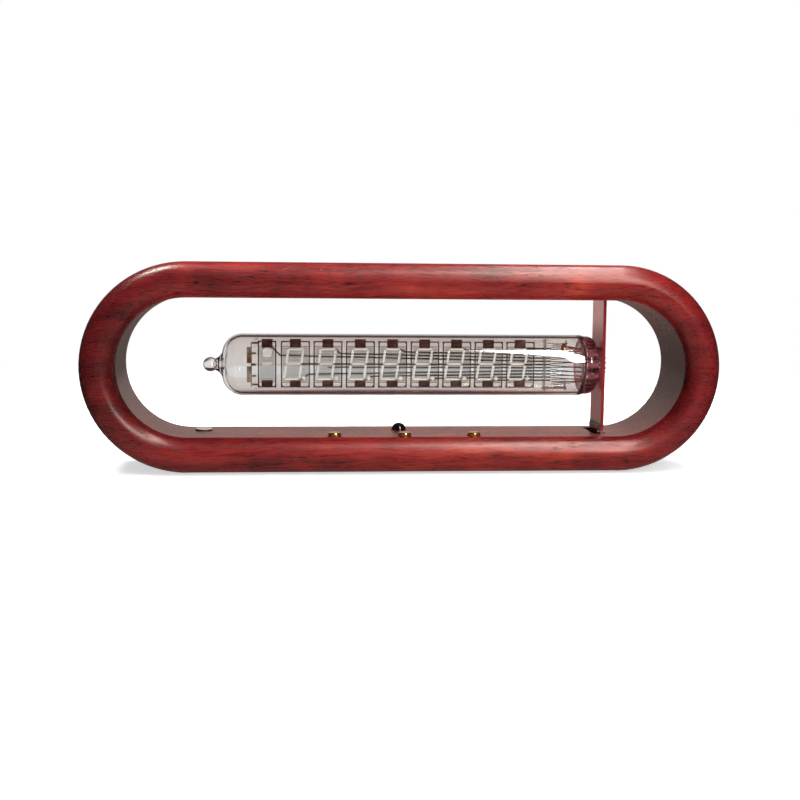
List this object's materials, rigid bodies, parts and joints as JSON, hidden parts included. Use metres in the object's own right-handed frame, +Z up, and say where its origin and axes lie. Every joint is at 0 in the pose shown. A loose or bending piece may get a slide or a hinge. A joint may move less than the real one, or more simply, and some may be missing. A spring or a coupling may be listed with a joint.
{
  "type": "vacuum fluorescent clock",
  "caption": "Desk clock with a long display tube held by an upright board inside a racetrack loop of red hardwood, with push buttons and sensors in the bottom rail.",
  "frame": {"origin": "middle of the footprint, at the underside of the rubber feet", "axes": "+X along the loop towards the mast, +Y to the back, +Z up; the display faces -Y"},
  "size_m": [0.2, 0.035, 0.0656],
  "materials": {
    "hardwood": "oiled, smooth sanded",
    "cover_wood": "oiled",
    "blackened_steel": "blackened",
    "rubber": "matte",
    "red_board": "solder mask over glass-epoxy",
    "chip_epoxy": "moulded epoxy",
    "tinned_metal": "tinned",
    "ferrite": "pressed ferrite",
    "capacitor_epoxy": "moulded epoxy",
    "steel_can": "satin",
    "spring_steel": "satin",
    "black_plastic": "moulded",
    "receiver_epoxy": "cast, glossy",
    "brass": "turned and polished",
    "sensor_face": "cast, glossy",
    "tube_glass": "clear, drawn",
    "plate_glass": "clear",
    "conductor_film": "printed thin film",
    "phosphor": "powdery",
    "frit_glass": "fired frit",
    "grid_steel": "etched",
    "tungsten": "oxide coated wire",
    "getter_metal": "heat stained",
    "solder": "reflowed"
  },
  "bodies": {
    "clock_body": {"wood_frame": "hardwood", "bottom_cover": "cover_wood", "cover_screws": "blackened_steel", "rubber_feet": "rubber", "main_board": "red_board", "board_screws": "steel_can", "processor_chip": "chip_epoxy", "driver_chip": "chip_epoxy", "chip_legs": "tinned_metal", "boost_inductor": "ferrite", "smoothing_capacitors": "capacitor_epoxy", "clock_crystal": "steel_can", "coin_cell": "steel_can", "cell_clip": "spring_steel", "socket_shell": "steel_can", "socket_tongue": "black_plastic", "switch_bodies": "black_plastic", "infrared_receiver": "receiver_epoxy", "light_sensor": "sensor_face", "sensor_sleeve": "black_plastic", "mast_board": "red_board", "foot_header": "black_plastic", "foot_pins": "tinned_metal", "foot_solder": "solder", "glass_envelope": "tube_glass", "lead_wires": "tinned_metal", "lead_solder": "solder", "anode_plate": "plate_glass", "conductor_traces": "conductor_film", "phosphor_digits": "phosphor", "phosphor_sign": "phosphor", "frit_pads": "frit_glass", "grid_sign": "grid_steel", "grid_1": "grid_steel", "grid_2": "grid_steel", "grid_3": "grid_steel", "grid_4": "grid_steel", "grid_5": "grid_steel", "grid_6": "grid_steel", "grid_7": "grid_steel", "grid_8": "grid_steel", "filament_wires": "tungsten", "filament_springs": "spring_steel", "spring_mount": "spring_steel", "filament_anchor": "spring_steel", "plate_clips": "spring_steel", "getter_ring": "getter_metal"},
    "left_button": {"brass_button_left": "brass", "switch_plunger_left": "black_plastic"},
    "middle_button": {"brass_button_middle": "brass", "switch_plunger_middle": "black_plastic"},
    "right_button": {"brass_button_right": "brass", "switch_plunger_right": "black_plastic"}
  },
  "joints": [
    {"name": "left_button_press", "type": "slide", "parent": "clock_body", "child": "left_button", "axis": [0, 0, -1], "range_m": [0, 0.0003], "stiffness_N_per_m": 600, "springref_m": -0.0003},
    {"name": "middle_button_press", "type": "slide", "parent": "clock_body", "child": "middle_button", "axis": [0, 0, -1], "range_m": [0, 0.0003], "stiffness_N_per_m": 600, "springref_m": -0.0003},
    {"name": "right_button_press", "type": "slide", "parent": "clock_body", "child": "right_button", "axis": [0, 0, -1], "range_m": [0, 0.0003], "stiffness_N_per_m": 600, "springref_m": -0.0003}
  ]
}
